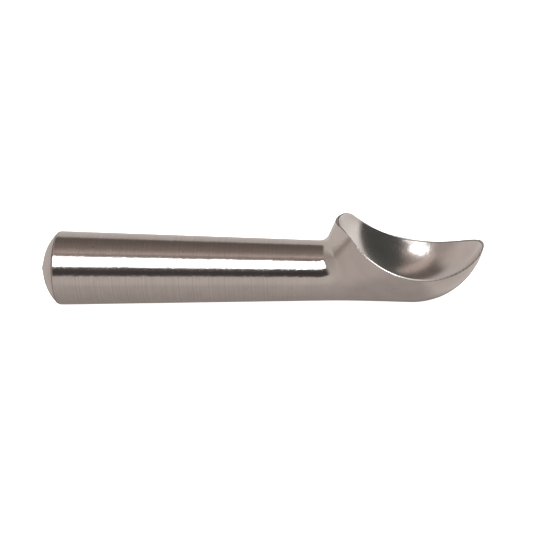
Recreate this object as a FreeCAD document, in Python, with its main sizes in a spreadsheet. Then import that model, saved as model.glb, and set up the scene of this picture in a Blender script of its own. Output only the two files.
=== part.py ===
import FreeCAD, Part
import math
import os

import Sketcher
from FreeCAD import Rotation, Vector

# One-piece ice cream dipper.
#
# A cast aluminium body carries a round bowl at one end and a hollow, tapering grip.
# The grip is filled with a liquid charge, which carries the warmth of the hand to the
# bowl, and a pressed end cap with a seal ring and a small fill plug closes it.
#
# Frame: X along the grip towards the bowl, Y across, Z up, millimetres. The dipper lies
# on the plane Z = 0 along the underside of its grip and the bottom of its bowl. The
# origin is under the middle of its length.

doc = FreeCAD.newDocument("ice_cream_dipper")

# Each size that can be set by itself, in millimetres or degrees.
DRIVING_SIZES = [
    ("overall_length", 178.6, "fill plug head to bowl tip"),
    ("butt_radius", 15.1, "grip radius at the cap seam"),
    ("grip_taper", 1.55, "half angle of the grip's cone"),
    ("grip_wall", 3.0, "aluminium around the cap's bore"),
    ("core_wall", 3.6, "aluminium around the cast core"),
    ("core_setback", 9.0, "from the core's last full section to where the crook starts"),
    ("bowl_outer_radius", 29.05, "outside of the bowl"),
    ("bowl_inner_radius", 29.0, "scooping surface"),
    ("bowl_floor", 3.6, "metal under the lowest point of the scooping surface"),
    ("bowl_forward", 0.37, "scooping surface's centre ahead of the outside's"),
    ("ramp_slope", 65.1, "slope of the bowl's back, from the table"),
    ("crook_radius", 4.0, "round between the grip's top and the bowl's back"),
    ("neck_lead", 10.0, "length of the grip's cone that the neck takes in"),
    ("ramp_lead", 4.0, "length of the bowl's back that the neck takes in"),
    ("rim_low", 15.9, "height of the rim's lowest point"),
    ("rim_forward", 7.44, "rim's lowest point ahead of the bowl's centre"),
    ("rim_front_radius", 36.0, "side view curve of the rim ahead of its lowest point"),
    ("rim_back_radius", 40.4, "side view curve of the rim behind its lowest point"),
    ("rim_top", 33.05, "height of the rim's level stretch at the back"),
    ("rim_top_round", 7.5, "side view curve that leads from the level stretch down"),
    ("rim_round", 0.3, "rounding of the rim's two edges"),
    ("seam_round", 0.5, "rounding of the two edges that meet at the cap seam"),
    ("cap_height", 6.65, "dome of the end cap"),
    ("spigot_length", 13.0, "cap's spigot in the bore"),
    ("bore_spare", 1.5, "bore left free past the spigot"),
    ("spigot_clearance", 0.03, "radial clearance of the spigot"),
    ("spigot_wall", 3.2, "wall of the hollow spigot"),
    ("crown_depth", 1.5, "cap's solid crown, past the seam"),
    ("ring_thickness", 1.8, "section diameter of the seal ring"),
    ("ring_clearance", 0.02, "gap between the seal ring and each wall"),
    ("ring_side_gap", 0.4, "room beside the seal ring in its groove"),
    ("ring_setback", 8.0, "seal ring's middle, from the seam"),
    ("plug_head_radius", 1.75, "fill plug's head"),
    ("plug_shank_radius", 1.2, "fill plug's shank"),
    ("plug_proud", 0.6, "plug head above the dome"),
    ("plug_seat_depth", 0.8, "plug head's seat, below the dome's top"),
    ("plug_clearance", 0.02, "radial clearance of the plug"),
    ("plug_head_round", 0.3, "rounding of the plug's head"),
    ("fluid_gap", 0.05, "space between the liquid charge and the metal"),
    ("air_depth", 4.8, "air above the liquid at the core's wide end, as the dipper lies"),
]

# What follows from the driving sizes.
WORKED_OUT_SIZES = [
    # Bowl and rim in side view. The outer circle stands on Z = 0, and the rim's front
    # curve crosses it at the tip, which ends the overall length.
    ("half_slope", "ramp_slope / 2"),
    ("rim_rise", "rim_low + rim_front_radius - bowl_outer_radius"),
    ("rim_offset", "sqrt(rim_forward ^ 2 + rim_rise ^ 2)"),
    ("tip_along", "(bowl_outer_radius ^ 2 - rim_front_radius ^ 2 + rim_offset ^ 2) / 2 / rim_offset"),
    ("tip_across", "sqrt(bowl_outer_radius ^ 2 - tip_along ^ 2)"),
    ("tip_reach", "(tip_along * rim_forward + tip_across * rim_rise) / rim_offset"),
    ("bowl_x", "overall_length / 2 - tip_reach"),
    ("rim_x", "bowl_x + rim_forward"),
    ("hollow_x", "bowl_x + bowl_forward"),
    ("hollow_z", "bowl_floor + bowl_inner_radius"),
    # The rim's stretches, from its lowest point: how far back and up they meet.
    ("rim_top_rise", "rim_top - rim_low"),
    ("rim_round_drop", "rim_back_radius + rim_top_round - rim_top_rise"),
    ("rim_round_reach", "sqrt((rim_back_radius + rim_top_round) ^ 2 - rim_round_drop ^ 2)"),
    ("rim_meet_share", "rim_back_radius / (rim_back_radius + rim_top_round)"),
    ("rim_meet_reach", "rim_round_reach * rim_meet_share"),
    ("rim_meet_rise", "rim_back_radius - rim_round_drop * rim_meet_share"),
    ("rim_cut_reach", "rim_round_reach + rim_top_round"),
    ("rim_cut_rise", "2 * bowl_outer_radius"),
    # Grip. Its cone lies on Z = 0, so its axis falls towards the bowl by grip_taper.
    ("axis_tilt", "-grip_taper"),
    ("seam_x", "plug_proud + cap_height - overall_length / 2"),
    ("seam_z", "butt_radius * cos(grip_taper)"),
    ("grip_apex_x", "seam_x - butt_radius * sin(grip_taper) + butt_radius / sin(grip_taper)"),
    # Bowl's back: a cone that touches Z = 0 and the outer sphere, seen from the side as
    # a wedge of ramp_slope. Distances run along the wedge's two sides from its root.
    ("ramp_end", "bowl_outer_radius / tan(half_slope)"),
    ("ramp_root_x", "bowl_x - ramp_end"),
    ("wedge_base", "grip_apex_x - ramp_root_x"),
    ("crook_turn", "ramp_slope + 2 * grip_taper"),
    ("crook_tangent", "crook_radius * tan(crook_turn / 2)"),
    ("grip_end", "wedge_base * sin(ramp_slope) / sin(crook_turn) + crook_tangent"),
    ("ramp_start", "wedge_base * sin(2 * grip_taper) / sin(crook_turn) + crook_tangent"),
    ("crook_x", "grip_apex_x - grip_end * cos(2 * grip_taper) + crook_radius * sin(2 * grip_taper)"),
    ("crook_z", "grip_end * sin(2 * grip_taper) + crook_radius * cos(2 * grip_taper)"),
    ("grip_foot_x", "grip_apex_x - grip_end"),
    ("ramp_foot_x", "ramp_root_x + ramp_start"),
    ("grip_length", "(butt_radius / sin(grip_taper) - grip_end - neck_lead) * cos(grip_taper)"),
    ("neck_radius", "(grip_end + neck_lead) * sin(grip_taper)"),
    ("dome_back", "bowl_outer_radius * sin(half_slope)"),
    ("dome_back_radius", "bowl_outer_radius * cos(half_slope)"),
    ("cone_back", "ramp_end / cos(half_slope) - (ramp_start + ramp_lead) * cos(half_slope)"),
    ("cone_back_radius", "(ramp_start + ramp_lead) * sin(half_slope)"),
    # Bore and core of the grip, along its axis from the seam.
    ("bore_radius", "butt_radius - grip_wall"),
    ("bore_depth", "spigot_length + bore_spare"),
    ("core_end", "grip_length + neck_lead - core_setback"),
    ("core_start_radius", "butt_radius - bore_depth * tan(grip_taper) - core_wall"),
    ("core_end_radius", "butt_radius - core_end * tan(grip_taper) - core_wall"),
    ("core_tip", "core_end + core_end_radius"),
    # End cap, seal ring and fill plug.
    ("spigot_radius", "bore_radius - spigot_clearance"),
    ("recess_radius", "spigot_radius - spigot_wall"),
    ("ring_radius", "ring_thickness / 2"),
    ("ring_centre_radius", "bore_radius - ring_clearance - ring_radius"),
    ("ring_groove_radius", "ring_centre_radius - ring_radius - ring_clearance"),
    ("ring_groove_start", "ring_setback - ring_radius - ring_side_gap"),
    ("ring_groove_end", "ring_setback + ring_radius + ring_side_gap"),
    ("plug_top", "cap_height + plug_proud"),
    ("plug_seat", "cap_height - plug_seat_depth"),
    ("plug_seat_radius", "plug_head_radius + plug_clearance"),
    ("plug_hole_radius", "plug_shank_radius + plug_clearance"),
    # Liquid charge.
    ("fluid_start", "bore_depth + fluid_gap"),
    ("fluid_start_radius", "core_start_radius - fluid_gap"),
    ("fluid_end_radius", "core_end_radius - fluid_gap"),
    ("fluid_tip", "core_end + fluid_end_radius"),
    ("fluid_level", "seam_z - bore_depth * sin(grip_taper) + core_start_radius - air_depth"),
    ("fluid_top_cut", "2 * butt_radius"),
]

sizes = doc.addObject("Spreadsheet::Sheet", "sizes")
row = 0


def add_size(alias, content, note=""):
    """One row of the sheet: the size's name, its value or formula, and what it is."""
    global row
    row += 1
    sizes.set(f"A{row}", alias)
    sizes.set(f"B{row}", content)
    sizes.set(f"C{row}", note)
    sizes.setAlias(f"B{row}", alias)


for alias, number, note in DRIVING_SIZES:
    add_size(alias, str(number), note)
for alias, formula in WORKED_OUT_SIZES:
    add_size(alias, "=" + formula)

# The neck's cross-sections are circles, each on the diameter from a point of the top line
# down to a point of the underside. First come two on the grip's cone, then those round the
# crook, where the point goes round an arc, and then two up the bowl's back.
CROOK_STEPS = 4
neck_sections = []


def add_section(top_x, top_z, foot_x):
    """Cells for one cross-section: its middle, its radius and its plane's turn from level."""
    name = f"section{len(neck_sections) + 1}"
    add_size(f"{name}_top_x", "=" + top_x)
    add_size(f"{name}_top_z", "=" + top_z)
    add_size(f"{name}_foot_x", "=" + foot_x)
    add_size(f"{name}_x", f"=({name}_top_x + {name}_foot_x) / 2")
    add_size(f"{name}_z", f"={name}_top_z / 2")
    add_size(f"{name}_radius", f"=sqrt(({name}_top_x - {name}_foot_x) ^ 2 + {name}_top_z ^ 2) / 2")
    add_size(f"{name}_turn", f"=asin(({name}_top_x - {name}_foot_x) / 2 / {name}_radius) / 1 deg + 90")
    neck_sections.append(name)


for share in ("1", "0.5"):
    reach = f"(grip_end + neck_lead * {share})"
    add_section(f"grip_apex_x - {reach} * cos(2 * grip_taper)",
                f"{reach} * sin(2 * grip_taper)",
                f"grip_apex_x - {reach}")
for step in range(CROOK_STEPS + 1):
    share = f"{step} / {CROOK_STEPS}"
    turn = f"(crook_turn * {share} - 2 * grip_taper)"
    add_section(f"crook_x + crook_radius * sin({turn})",
                f"crook_z - crook_radius * cos({turn})",
                f"grip_foot_x + (ramp_foot_x - grip_foot_x) * {share}")
for share in ("0.5", "1"):
    reach = f"(ramp_start + ramp_lead * {share})"
    add_section(f"ramp_root_x + {reach} * cos(ramp_slope)",
                f"{reach} * sin(ramp_slope)",
                f"ramp_root_x + {reach}")
doc.recompute()


def size(alias):
    """A size from the sheet, as a number; a leading minus sign turns it over."""
    if alias is None:
        return 0.0
    return -size(alias[1:]) if alias.startswith("-") else float(sizes.get(alias))


def new_body(name):
    """A body for one sub-part, standing in the dipper's own frame."""
    body = doc.addObject("PartDesign::Body", name)
    body.Label = name
    body.Placement = FreeCAD.Placement()
    return body


def new_sketch(body, name, plane, moves, turn=None, turn_axis=Vector(0, 0, 1)):
    """A sketch on one of the body's origin planes, moved and turned by sizes in the sheet."""
    sketch = body.newObject("Sketcher::SketchObject", name)
    plane_feature = next(f for f in body.Origin.OriginFeatures if f.Role == plane)
    sketch.AttachmentSupport = [(plane_feature, "")]
    sketch.MapMode = "FlatFace"
    for direction, alias in moves.items():
        sketch.setExpression(f".AttachmentOffset.Base.{direction}", f"sizes.{alias}")
    if turn:
        sketch.AttachmentOffset = FreeCAD.Placement(Vector(), Rotation(turn_axis, 1))
        sketch.setExpression(".AttachmentOffset.Rotation.Angle", f"sizes.{turn}")
    doc.recompute()
    return sketch


def side_sketch(body, name, x, z, turn=None):
    """A sketch of the side view, with its origin at x and z and turned up by an angle."""
    return new_sketch(body, name, "XZ_Plane", {"x": x, "y": z}, turn)


def grip_sketch(body, name):
    """A side sketch whose X axis is the grip's axis, from the middle of the cap seam."""
    return side_sketch(body, name, "seam_x", "seam_z", "axis_tilt")


def bind(sketch, kind, *where, alias):
    """A sketch constraint whose value is a size in the sheet."""
    index = sketch.addConstraint(Sketcher.Constraint(kind, *where, size(alias)))
    name = f"{alias}_{index}"
    sketch.renameConstraint(index, name)
    sketch.setExpression(f"Constraints.{name}", f"sizes.{alias}")


def place(sketch, point, x, y):
    """Hold a point of the sketch at two sizes; None puts it on the axis."""
    origin = (-1, 1)
    for kind, alias, axis in (("DistanceX", x, -2), ("DistanceY", y, -1)):
        if alias is None:
            sketch.addConstraint(Sketcher.Constraint("PointOnObject", *point, axis))
        elif alias.startswith("-"):
            bind(sketch, kind, *point, *origin, alias=alias[1:])
        else:
            bind(sketch, kind, *origin, *point, alias=alias)


def add_line(sketch, start, end):
    """A line from start to end; gives its two ends."""
    line = sketch.addGeometry(Part.LineSegment(start, end), False)
    return (line, 1), (line, 2)


def add_arc(sketch, start, end, direction, radius):
    """An arc from start to end; gives its two ends.

    It is under half a turn and has this radius, a size. Without a radius, its centre is on
    the sketch's X axis.
    """
    if radius is None:
        squares = end.x ** 2 + end.y ** 2 - start.x ** 2 - start.y ** 2
        centre = Vector(squares / 2 / (end.x - start.x), 0, 0)
    else:
        half_chord = (end - start) / 2
        depth = math.sqrt(size(radius) ** 2 - half_chord.Length ** 2)
        left = Vector(-half_chord.y, half_chord.x, 0).normalize()
        centre = start + half_chord + left * (-depth if direction == "clockwise" else depth)
    first, second = (end, start) if direction == "clockwise" else (start, end)
    angles = [math.atan2(point.y - centre.y, point.x - centre.x) for point in (first, second)]
    circle = Part.Circle(centre, Vector(0, 0, 1), start.distanceToPoint(centre))
    arc = sketch.addGeometry(Part.ArcOfCircle(circle, *angles), False)
    if radius is None:
        sketch.addConstraint(Sketcher.Constraint("PointOnObject", arc, 3, -1))
    else:
        bind(sketch, "Radius", arc, alias=radius)
    return ((arc, 2), (arc, 1)) if direction == "clockwise" else ((arc, 1), (arc, 2))


def outline(sketch, corners, arcs):
    """A closed outline through corners, each a pair of sizes.

    arcs gives a direction and a radius for the corners that an arc leaves, by their place
    in the list. The other sides are straight.
    """
    points = [Vector(size(x), size(y), 0) for x, y in corners]
    sides = []
    for index, (start, end) in enumerate(zip(points, points[1:] + points[:1])):
        if index in arcs:
            sides.append(add_arc(sketch, start, end, *arcs[index]))
        else:
            sides.append(add_line(sketch, start, end))
    for side, next_side in zip(sides, sides[1:] + sides[:1]):
        sketch.addConstraint(Sketcher.Constraint("Coincident", *side[1], *next_side[0]))
    for side, (x, y) in zip(sides, corners):
        place(sketch, side[0], x, y)


def ring_outline(sketch, radius, x=None, y=None):
    """A circle in the sketch, by sizes."""
    circle = Part.Circle(Vector(size(x), size(y), 0), Vector(0, 0, 1), size(radius))
    index = sketch.addGeometry(circle, False)
    place(sketch, (index, 3), x, y)
    bind(sketch, "Radius", index, alias=radius)


def add_feature(body, kind, name, **properties):
    """A feature of the body with these properties, recomputed."""
    feature = body.newObject(kind, name)
    for property_name, setting in properties.items():
        setattr(feature, property_name, setting)
    doc.recompute()
    return feature


def turn_solid(body, name, sketch):
    """Material turned through a full circle about the sketch's X axis."""
    axis = (sketch, ["H_Axis"])
    add_feature(body, "PartDesign::Revolution", name, Profile=sketch, ReferenceAxis=axis, Angle=360)


def check_cut(body, name, volume_before):
    """Stop when a cut took nothing away."""
    if not body.Shape.Volume < volume_before:
        raise RuntimeError(f"{name} cuts nothing")


def turn_cut(body, name, sketch):
    """A full turn about the sketch's X axis, cut from the body."""
    before = body.Shape.Volume
    axis = (sketch, ["H_Axis"])
    add_feature(body, "PartDesign::Groove", name, Profile=sketch, ReferenceAxis=axis, Angle=360)
    check_cut(body, name, before)


def cut_across(body, name, sketch):
    """A shape of the side view, cut right through the body from side to side."""
    before = body.Shape.Volume
    add_feature(body, "PartDesign::Pocket", name, Profile=sketch, Type="ThroughAll", Midplane=True)
    check_cut(body, name, before)


def round_edges(body, name, radius, is_chosen):
    """A fillet on the edges of the body's last feature for which is_chosen(edge) is true."""
    base = body.Tip
    edges = [
        f"Edge{number}" for number, edge in enumerate(base.Shape.Edges, 1)
        if not edge.Degenerated and is_chosen(edge)]
    if not edges:
        raise RuntimeError(f"{name} finds no edge")
    feature = body.newObject("PartDesign::Fillet", name)
    feature.Base = (base, edges)
    feature.setExpression("Radius", f"sizes.{radius}")
    doc.recompute()


def grip_point(along):
    """The point of the grip's axis this far from the seam, towards the bowl."""
    tilt = Rotation(Vector(0, 1, 0), size("grip_taper"))
    return Vector(size("seam_x"), 0, size("seam_z")) + tilt.multVec(Vector(along, 0, 0))


# Closer than this, two places are the same place.
TOUCHING = 0.005


def is_ring(edge, radius, along):
    """Whether an edge is a circle of this radius about the grip's axis, this far from the seam."""
    if not isinstance(edge.Curve, Part.Circle):
        return False
    off_centre = edge.Curve.Center.distanceToPoint(grip_point(size(along)))
    return off_centre < TOUCHING and abs(edge.Curve.Radius - size(radius)) < TOUCHING


def rim_height(x):
    """The height of the rim in the side view."""
    forward = x - size("rim_x")
    if forward > 0:
        radius = size("rim_front_radius")
        return size("rim_low") + radius - math.sqrt(radius ** 2 - forward ** 2)
    if forward > -size("rim_meet_reach"):
        radius = size("rim_back_radius")
        return size("rim_low") + radius - math.sqrt(radius ** 2 - forward ** 2)
    if forward > -size("rim_round_reach"):
        radius = size("rim_top_round")
        past_top = forward + size("rim_round_reach")
        return size("rim_top") - radius + math.sqrt(radius ** 2 - past_top ** 2)
    return size("rim_top")


def is_on_rim(edge):
    """Whether an edge runs along the rim. Straight ones only part two of its stretches."""
    if isinstance(edge.Curve, Part.Line):
        return False
    return all(abs(point.z - rim_height(point.x)) < TOUCHING for point in edge.discretize(9))


def build_scoop_body():
    """The casting: grip, neck and bowl, then the rim, the hollow and the grip's cavity."""
    body = new_body("scoop_body")

    profile = grip_sketch(body, "grip_profile")
    outline(profile, [
        (None, None), (None, "-butt_radius"), ("grip_length", "-neck_radius"),
        ("grip_length", None)], {})
    turn_solid(body, "grip", profile)

    rings = []
    for name in neck_sections:
        moves = {"x": f"{name}_x", "z": f"{name}_z"}
        ring = new_sketch(body, f"neck_{name}", "XY_Plane", moves, f"{name}_turn", Vector(0, 1, 0))
        ring_outline(ring, f"{name}_radius")
        rings.append(ring)
    add_feature(body, "PartDesign::AdditiveLoft", "neck", Profile=rings[0], Sections=rings[1:])

    profile = side_sketch(body, "bowl_profile", "bowl_x", "bowl_outer_radius", "half_slope")
    outline(profile, [
        ("bowl_outer_radius", None), ("-cone_back", None), ("-cone_back", "-cone_back_radius"),
        ("-dome_back", "-dome_back_radius")],
        {3: ("counter-clockwise", None)})
    turn_solid(body, "bowl_outside", profile)

    profile = side_sketch(body, "rim_profile", "rim_x", "rim_low")
    outline(profile, [
        ("-rim_round_reach", "rim_top_rise"), ("-rim_meet_reach", "rim_meet_rise"),
        (None, None), ("rim_front_radius", "rim_front_radius"),
        ("rim_front_radius", "rim_cut_rise"), ("-rim_cut_reach", "rim_cut_rise"),
        ("-rim_cut_reach", "rim_top_rise")],
        {0: ("clockwise", "rim_top_round"), 1: ("counter-clockwise", "rim_back_radius"),
         2: ("counter-clockwise", "rim_front_radius")})
    cut_across(body, "rim", profile)

    profile = side_sketch(body, "hollow_profile", "hollow_x", "hollow_z", "half_slope")
    outline(profile, [
        ("-bowl_inner_radius", None), ("bowl_inner_radius", None)],
        {1: ("counter-clockwise", None)})
    turn_cut(body, "bowl_hollow", profile)

    profile = grip_sketch(body, "cavity_profile")
    outline(profile, [
        ("core_tip", None), (None, None), (None, "bore_radius"), ("bore_depth", "bore_radius"),
        ("bore_depth", "core_start_radius"), ("core_end", "core_end_radius")],
        {5: ("clockwise", None)})
    turn_cut(body, "grip_cavity", profile)

    round_edges(body, "rim_rounds", "rim_round", is_on_rim)
    round_edges(body, "butt_round", "seam_round", lambda edge: is_ring(edge, "butt_radius", None))
    return body


def build_end_cap():
    """The turned cap: dome, hollow spigot, seal groove and the plug's stepped hole."""
    body = new_body("end_cap")

    profile = grip_sketch(body, "cap_profile")
    outline(profile, [
        ("-cap_height", None), ("crown_depth", None), ("crown_depth", "recess_radius"),
        ("spigot_length", "recess_radius"), ("spigot_length", "spigot_radius"),
        (None, "spigot_radius"), (None, "butt_radius")],
        {6: ("counter-clockwise", None)})
    turn_solid(body, "cap_turning", profile)

    profile = grip_sketch(body, "seal_groove_profile")
    outline(profile, [
        ("ring_groove_start", "ring_groove_radius"), ("ring_groove_end", "ring_groove_radius"),
        ("ring_groove_end", "bore_radius"), ("ring_groove_start", "bore_radius")], {})
    turn_cut(body, "seal_groove", profile)

    profile = grip_sketch(body, "plug_hole_profile")
    outline(profile, [
        ("-plug_top", None), ("crown_depth", None), ("crown_depth", "plug_hole_radius"),
        ("-plug_seat", "plug_hole_radius"), ("-plug_seat", "plug_seat_radius"),
        ("-plug_top", "plug_seat_radius")], {})
    turn_cut(body, "plug_hole", profile)

    round_edges(body, "cap_round", "seam_round", lambda edge: is_ring(edge, "butt_radius", None))
    return body


def build_cap_seal_ring():
    """The rubber ring in the spigot's groove."""
    body = new_body("cap_seal_ring")
    profile = grip_sketch(body, "ring_profile")
    ring_outline(profile, "ring_radius", "ring_setback", "ring_centre_radius")
    turn_solid(body, "seal_ring", profile)
    return body


def build_fill_plug():
    """The small headed plug through the cap's crown."""
    body = new_body("fill_plug")
    profile = grip_sketch(body, "plug_profile")
    outline(profile, [
        ("-plug_top", None), ("crown_depth", None), ("crown_depth", "plug_shank_radius"),
        ("-plug_seat", "plug_shank_radius"), ("-plug_seat", "plug_head_radius"),
        ("-plug_top", "plug_head_radius")], {})
    turn_solid(body, "plug_turning", profile)
    round_edges(body, "plug_head", "plug_head_round",
                lambda edge: is_ring(edge, "plug_head_radius", "-plug_top"))
    return body


def build_heat_fluid():
    """The liquid charge: the core's inside up to a level surface, with air above it."""
    body = new_body("heat_fluid")
    profile = grip_sketch(body, "fluid_profile")
    outline(profile, [
        ("fluid_tip", None), ("fluid_start", None), ("fluid_start", "fluid_start_radius"),
        ("core_end", "fluid_end_radius")],
        {3: ("clockwise", None)})
    turn_solid(body, "core_filling", profile)
    profile = side_sketch(body, "air_profile", "seam_x", "fluid_level")
    outline(profile, [
        (None, None), ("overall_length", None), ("overall_length", "fluid_top_cut"),
        (None, "fluid_top_cut")], {})
    cut_across(body, "air_space", profile)
    return body


def check_document(bodies):
    """Stop before anything is written when a feature failed or a shape isn't sound."""
    for item in doc.Objects:
        if "Invalid" in item.State or "Error" in item.State:
            raise RuntimeError(f"{item.Name} failed: {item.State}")
    for body in bodies:
        if body.Shape.isNull() or not body.Shape.isValid() or len(body.Shape.Solids) != 1:
            raise RuntimeError(f"{body.Label} isn't one sound solid")


bodies = [
    build_scoop_body(), build_end_cap(), build_cap_seal_ring(), build_fill_plug(), build_heat_fluid()]
doc.recompute()
check_document(bodies)
os.makedirs("parts", exist_ok=True)
for body in bodies:
    body.Shape.exportStep(f"parts/{body.Label}.step")
    print(f"{body.Label}: {body.Shape.Volume / 1000:.2f} cm3")
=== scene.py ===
# %% [markdown]
# # An ice cream dipper, piece by piece
#
# A dipper is a hollow aluminium casting with a bowl at one end. A liquid is sealed in its
# grip. The liquid carries the warmth of the hand to the bowl, so that the scoop of ice
# cream lets go. Nothing moves, and nothing is painted: all that the eye gets is bare metal
# and what the metal mirrors. So this lesson is about two things, clean curved meshes and
# the light that stands round them.
#
# The frame comes from the CAD model. Everything below is in metres, in that same frame:
# X along the grip towards the bowl, Y across, Z up, and the table at Z = 0.

import math

import bmesh
import bpy
from mathutils import Matrix, Vector


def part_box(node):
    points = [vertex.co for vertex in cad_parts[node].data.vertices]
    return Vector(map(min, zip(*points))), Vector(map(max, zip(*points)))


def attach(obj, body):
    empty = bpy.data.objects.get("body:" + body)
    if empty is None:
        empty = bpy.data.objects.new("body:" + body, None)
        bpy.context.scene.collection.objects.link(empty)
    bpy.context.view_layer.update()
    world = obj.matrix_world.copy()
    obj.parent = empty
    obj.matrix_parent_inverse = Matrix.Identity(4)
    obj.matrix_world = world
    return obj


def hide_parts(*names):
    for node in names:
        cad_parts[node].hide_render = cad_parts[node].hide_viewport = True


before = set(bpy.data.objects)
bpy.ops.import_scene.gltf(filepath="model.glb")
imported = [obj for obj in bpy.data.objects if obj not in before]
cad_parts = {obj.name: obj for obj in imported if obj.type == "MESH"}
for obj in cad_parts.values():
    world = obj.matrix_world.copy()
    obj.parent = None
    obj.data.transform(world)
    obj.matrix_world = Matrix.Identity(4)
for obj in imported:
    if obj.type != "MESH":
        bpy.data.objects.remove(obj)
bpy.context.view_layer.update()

# %% [markdown]
# ## The camera
#
# The dipper is looked at from the side, a little from above, with a long lens, which keeps
# the grip's two edges almost straight. The camera could be aimed with a constraint. Here
# its three axes are worked out and written into its matrix, because the picture is also
# rolled a little, so that the bowl's end sits higher than the grip's.

# %% Camera
MM = 0.001
CAMERA_DISTANCE = 0.5
CAMERA_ELEVATION = math.radians(18.9)
CAMERA_AZIMUTH = math.radians(5.1)
CAMERA_ROLL = math.radians(2.56)
CAMERA_LENS = 83.7
AIM = Vector((2.6, 0, 14.2)) * MM

towards_camera = Vector((
    math.sin(CAMERA_AZIMUTH) * math.cos(CAMERA_ELEVATION),
    -math.cos(CAMERA_AZIMUTH) * math.cos(CAMERA_ELEVATION),
    math.sin(CAMERA_ELEVATION)))
level = Vector((math.cos(CAMERA_AZIMUTH), math.sin(CAMERA_AZIMUTH), 0))
upright = towards_camera.cross(level)
picture_right = math.cos(CAMERA_ROLL) * level - math.sin(CAMERA_ROLL) * upright
picture_up = math.sin(CAMERA_ROLL) * level + math.cos(CAMERA_ROLL) * upright

camera = bpy.data.objects.new("camera", bpy.data.cameras.new("camera"))
camera.data.lens = CAMERA_LENS
camera.data.clip_start = 0.01
turn = Matrix((picture_right, picture_up, towards_camera)).transposed().to_4x4()
camera.matrix_world = Matrix.Translation(AIM + CAMERA_DISTANCE * towards_camera) @ turn
bpy.context.scene.collection.objects.link(camera)
bpy.context.scene.camera = camera
bpy.context.scene.view_settings.view_transform = "Standard"
print("camera at, mm:", [round(value / MM) for value in camera.location])

# %% [markdown]
# ## Colours and nodes
#
# A colour is written as the hex value that a colour picker shows. Shaders want linear
# light, so one function turns the first into the second. One more function adds a node,
# sets it up and links it, so each material below reads as a recipe, node after node.

# %% Helpers for materials


def linear(hex_colour):
    """Linear RGBA of an sRGB hex colour."""
    channels = [int(hex_colour[start:start + 2], 16) / 255 for start in (0, 2, 4)]
    light = [c / 12.92 if c <= 0.04045 else ((c + 0.055) / 1.055) ** 2.4 for c in channels]
    return (*light, 1.0)


def add_node(tree, kind, settings, inputs):
    """Add a node, set it up, and give each socket a value or a link.

    A link comes from a socket, or from a node, which stands for its first output.
    """
    node = tree.nodes.new("ShaderNode" + kind)
    for name, value in settings.items():
        setattr(node, name, value)
    for socket, value in inputs.items():
        if isinstance(value, bpy.types.Node):
            value = value.outputs[0]
        if isinstance(value, bpy.types.NodeSocket):
            tree.links.new(value, node.inputs[socket])
        else:
            node.inputs[socket].default_value = value
    return node


def new_material(name):
    """A material with an empty node tree, and that tree."""
    material = bpy.data.materials.new(name)
    material.use_nodes = True
    material.node_tree.nodes.clear()
    return material, material.node_tree


print("mid grey 808080 in linear light:", round(linear("808080")[0], 3))

# %% [markdown]
# ## The table
#
# The dipper lies on a plain white sheet that curves up far behind it, as a studio's sweep
# does. A plane would do until someone looks from low down, and sees its edge. So the
# sheet is a disc whose outer ring is extruded outwards and upwards, all round.
#
# It is a light table: it glows a little, which is how a catalogue gets rid of shadows.
# Polished metal mirrors its table, and a white table would wash out its lower half. A
# studio puts grey card there. Here the sheet is simply left out of what glossy rays see,
# and the room's own grey shows in the metal instead.

# %% White sheet
SHEET_RADIUS = 1.6
SHEET_RISE = 1.2
SHEET_SIDES = 96
SWEEP_STEPS = 12
SHEET_GLOW = 0.85
PULP_SIZE = 2.5 * MM

sheet_mesh = bmesh.new()
bmesh.ops.create_circle(sheet_mesh, cap_ends=True, segments=SHEET_SIDES, radius=SHEET_RADIUS)
edges = [edge for edge in sheet_mesh.edges if edge.is_boundary]
for step in range(1, SWEEP_STEPS + 1):
    lean = math.radians(90) * step / SWEEP_STEPS
    grown = bmesh.ops.extrude_edge_only(sheet_mesh, edges=edges)["geom"]
    corners = [item for item in grown if isinstance(item, bmesh.types.BMVert)]
    edges = [item for item in grown if isinstance(item, bmesh.types.BMEdge)]
    for corner in corners:
        outward = Vector((corner.co.x, corner.co.y, 0)).normalized()
        corner.co = outward * (SHEET_RADIUS + SHEET_RISE * math.sin(lean))
        corner.co.z = SHEET_RISE * (1 - math.cos(lean))
for face in sheet_mesh.faces:
    face.smooth = True
sheet = bpy.data.objects.new("white_sheet", bpy.data.meshes.new("white_sheet"))
sheet_mesh.to_mesh(sheet.data)
sheet_mesh.free()
bpy.context.scene.collection.objects.link(sheet)
sheet.visible_glossy = False

paper, tree = new_material("matt_white_paper")
coordinates = add_node(tree, "TexCoord", {}, {})
pulp = add_node(tree, "TexNoise", {}, {
    "Vector": coordinates.outputs["Object"], "Scale": 1 / PULP_SIZE})
raised = add_node(tree, "Bump", {}, {"Strength": 0.1, "Distance": 0.05 * MM, "Height": pulp})
surface = add_node(tree, "BsdfPrincipled", {}, {
    "Base Color": linear("f2f1ef"), "Roughness": 0.9, "Specular IOR Level": 0.1,
    "Emission Color": linear("ffffff"), "Emission Strength": SHEET_GLOW, "Normal": raised})
add_node(tree, "OutputMaterial", {}, {"Surface": surface})
sheet.data.materials.append(paper)
print("white sheet, m across:", round(2 * (SHEET_RADIUS + SHEET_RISE), 2))

# %% [markdown]
# ## The light
#
# Bright metal shows nothing of its own. It shows the room. A lamp alone would leave it
# black with one hot line, so a studio is built round it: a softbox in front and above,
# grey walls and table, and dark gaps between them, which draw the long dark bands that
# make a round bar look round.
#
# The walls here are the world's colour, which changes with direction. The angle that
# counts is the one about the X axis, because the grip lies along it: 0 degrees is level
# towards the camera's side, 90 is straight up, 180 is level on the far side and -90 is
# down. One colour ramp over that angle gives every band along the grip. The two ends of
# the room have ramps of their own, which the cap, the bowl's back and the hollow mirror.

# %% Room
world = bpy.data.worlds.new("studio_room")
bpy.context.scene.world = world
world.use_nodes = True
tree = world.node_tree
tree.nodes.clear()

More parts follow.
